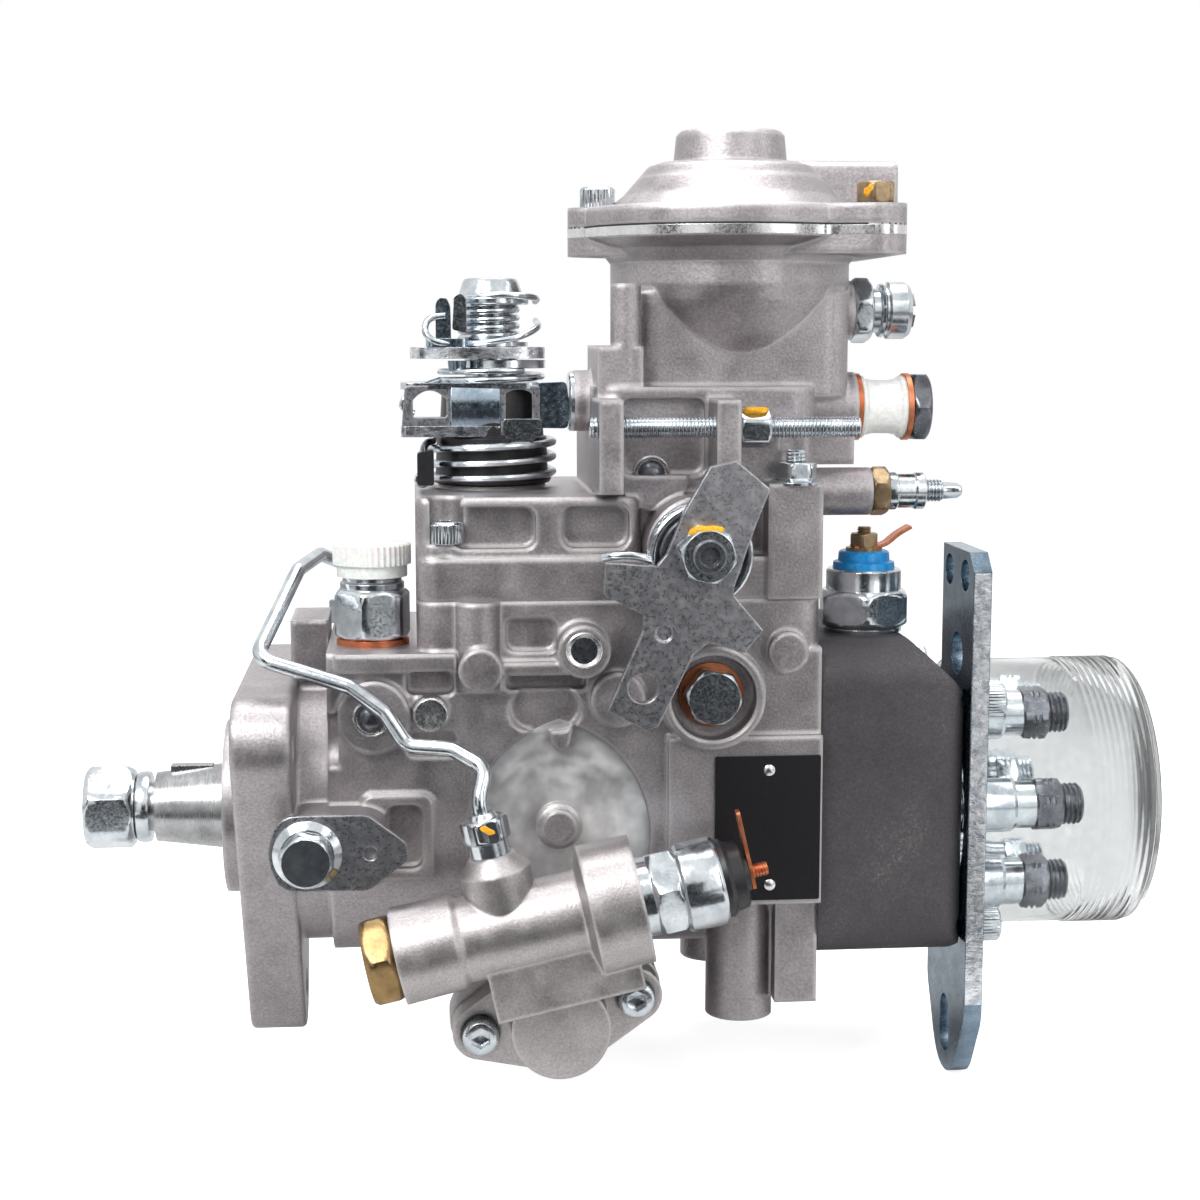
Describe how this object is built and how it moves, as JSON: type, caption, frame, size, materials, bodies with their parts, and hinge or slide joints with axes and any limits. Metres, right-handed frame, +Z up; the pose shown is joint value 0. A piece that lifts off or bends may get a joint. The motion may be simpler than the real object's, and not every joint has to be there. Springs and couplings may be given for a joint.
{
  "type": "diesel injection pump",
  "caption": "Rotary diesel injection pump with boost tower, throttle and stop levers, outlet ring under a clear cap and a rear bracket.",
  "frame": {"origin": "on the pump shaft axis, in the plane of the flange's mounting face", "axes": "+X along the shaft from the drive nut to the outlets, +Z up towards the boost tower, the levers on the -Y side"},
  "size_m": [0.3071, 0.1433, 0.2725],
  "materials": {
    "steel": "machined steel, lightly oiled",
    "zinc": "steel with bright zinc plating",
    "cast_aluminium": "sand cast aluminium with a fine grain",
    "head_steel": "dark phosphated steel",
    "bronze": "turned brass",
    "copper": "soft copper sealing washers",
    "rubber": "matt black rubber",
    "blue_plastic": "moulded blue plastic",
    "black_plastic": "black plastic with a steel spring",
    "white_plastic": "soft white plastic",
    "clear_plastic": "thin clear moulded plastic"
  },
  "bodies": {
    "pump_body": {"governor_pins": "steel", "feed_pump_cam_ring": "steel", "feed_pump_cover_plate": "steel", "return_springs": "steel", "head_centre_plug": "steel", "cap_screws": "steel", "delivery_valve_1": "zinc", "delivery_valve_2": "zinc", "delivery_valve_3": "zinc", "delivery_valve_4": "zinc", "delivery_valve_5": "zinc", "delivery_valve_6": "zinc", "shutoff_solenoid": "zinc", "rear_bracket": "zinc", "inlet_fitting": "zinc", "overflow_bolt": "zinc", "full_load_screw": "zinc", "max_speed_screw": "zinc", "vent_fitting": "zinc", "side_plug": "zinc", "shaft_lock": "zinc", "fuel_pipe": "zinc", "advance_solenoid": "zinc", "pump_housing": "cast_aluminium", "governor_cover": "cast_aluminium", "boost_lid": "cast_aluminium", "cold_start_cover": "cast_aluminium", "timing_spring_cover": "cast_aluminium", "distributor_head": "head_steel", "shaft_bush": "bronze", "brass_plug": "bronze", "copper_washers": "copper", "shaft_seal": "rubber", "shutoff_terminal": "blue_plastic", "throttle_spring": "black_plastic", "overflow_sleeve": "white_plastic"},
    "drive_shaft_body": {"drive_shaft": "steel", "shaft_nut": "zinc", "feed_pump_rotor": "steel", "governor_drive_gear": "steel", "cam_plate": "steel", "plunger": "steel"},
    "governor_cage_body": {"governor_cage": "steel"},
    "flyweight_1_body": {"flyweight_1": "steel"},
    "flyweight_2_body": {"flyweight_2": "steel"},
    "flyweight_3_body": {"flyweight_3": "steel"},
    "flyweight_4_body": {"flyweight_4": "steel"},
    "governor_sleeve_body": {"governor_sleeve": "steel"},
    "governor_lever_body": {"governor_lever": "steel"},
    "control_sleeve_body": {"control_sleeve": "steel"},
    "roller_ring_body": {"roller_ring": "steel"},
    "timing_piston_body": {"timing_piston": "cast_aluminium"},
    "throttle_body": {"throttle_shaft": "steel", "throttle_lever": "zinc", "governor_spring": "steel"},
    "stop_lever_body": {"stop_lever": "zinc"},
    "boost_pin_body": {"boost_pin": "steel"},
    "armature_body": {"shutoff_armature": "steel"},
    "outlet_cap_body": {"outlet_cap": "clear_plastic"},
    "inlet_cap_body": {"inlet_cap": "white_plastic"}
  },
  "joints": [
    {"name": "drive_shaft_turn", "type": "hinge", "parent": "pump_body", "child": "drive_shaft_body", "pos_m": [0, 0, 0], "axis": [1, 0, 0], "continuous": true},
    {"name": "governor_cage_turn", "type": "hinge", "parent": "pump_body", "child": "governor_cage_body", "pos_m": [0.056, 0, 0.044], "axis": [1, 0, 0], "continuous": true},
    {"name": "flyweight_1_swing", "type": "hinge", "parent": "governor_cage_body", "child": "flyweight_1_body", "pos_m": [0.065, 0, 0.061], "axis": [0, -1, 0], "range_deg": [0, 20]},
    {"name": "flyweight_2_swing", "type": "hinge", "parent": "governor_cage_body", "child": "flyweight_2_body", "pos_m": [0.065, -0.017, 0.044], "axis": [0, 0, -1], "range_deg": [0, 20]},
    {"name": "flyweight_3_swing", "type": "hinge", "parent": "governor_cage_body", "child": "flyweight_3_body", "pos_m": [0.065, 0, 0.027], "axis": [0, 1, 0], "range_deg": [0, 20]},
    {"name": "flyweight_4_swing", "type": "hinge", "parent": "governor_cage_body", "child": "flyweight_4_body", "pos_m": [0.065, 0.017, 0.044], "axis": [0, 0, 1], "range_deg": [0, 20]},
    {"name": "governor_sleeve_slide", "type": "slide", "parent": "pump_body", "child": "governor_sleeve_body", "axis": [1, 0, 0], "range_m": [0, 0.0026]},
    {"name": "governor_lever_tilt", "type": "hinge", "parent": "pump_body", "child": "governor_lever_body", "pos_m": [0.124, 0, 0.03], "axis": [0, 1, 0], "range_deg": [0, 10.6]},
    {"name": "control_sleeve_slide", "type": "slide", "parent": "pump_body", "child": "control_sleeve_body", "axis": [-1, 0, 0], "range_m": [0, 0.0038]},
    {"name": "roller_ring_turn", "type": "hinge", "parent": "pump_body", "child": "roller_ring_body", "pos_m": [0.0865, 0, 0], "axis": [1, 0, 0], "range_deg": [0, 12]},
    {"name": "timing_piston_slide", "type": "slide", "parent": "pump_body", "child": "timing_piston_body", "axis": [0, 1, 0], "range_m": [0, 0.00986]},
    {"name": "throttle_turn", "type": "hinge", "parent": "pump_body", "child": "throttle_body", "pos_m": [0.0717, 0, 0.11], "axis": [0, 0, -1], "range_deg": [0, 50], "stiffness_Nm_per_rad": 0.3},
    {"name": "stop_lever_turn", "type": "hinge", "parent": "pump_body", "child": "stop_lever_body", "pos_m": [0.1255, -0.062, 0.079], "axis": [0, 1, 0], "range_deg": [0, 45], "stiffness_Nm_per_rad": 0.3},
    {"name": "boost_pin_slide", "type": "slide", "parent": "pump_body", "child": "boost_pin_body", "axis": [0, 0, -1], "range_m": [0, 0.006], "stiffness_N_per_m": 300},
    {"name": "armature_slide", "type": "slide", "parent": "pump_body", "child": "armature_body", "axis": [0, 0, 1], "range_m": [0, 0.0012], "stiffness_N_per_m": 300},
    {"name": "outlet_cap_slide", "type": "slide", "parent": "pump_body", "child": "outlet_cap_body", "axis": [1, 0, 0], "range_m": [0, 0.06]},
    {"name": "inlet_cap_slide", "type": "slide", "parent": "pump_body", "child": "inlet_cap_body", "axis": [0, 0, 1], "range_m": [0, 0.04]}
  ],
  "couplings": [
    {"joint": "governor_cage_turn", "follows": "drive_shaft_turn", "ratio": -1.5},
    {"joint": "flyweight_2_swing", "follows": "flyweight_1_swing", "ratio": 1},
    {"joint": "flyweight_3_swing", "follows": "flyweight_1_swing", "ratio": 1},
    {"joint": "flyweight_4_swing", "follows": "flyweight_1_swing", "ratio": 1},
    {"joint": "governor_sleeve_slide", "follows": "flyweight_1_swing", "m_per_rad": 0.00735},
    {"joint": "governor_lever_tilt", "follows": "flyweight_1_swing", "ratio": 0.525},
    {"joint": "control_sleeve_slide", "follows": "flyweight_1_swing", "m_per_rad": 0.0107},
    {"joint": "timing_piston_slide", "follows": "roller_ring_turn", "m_per_rad": 0.04701}
  ]
}
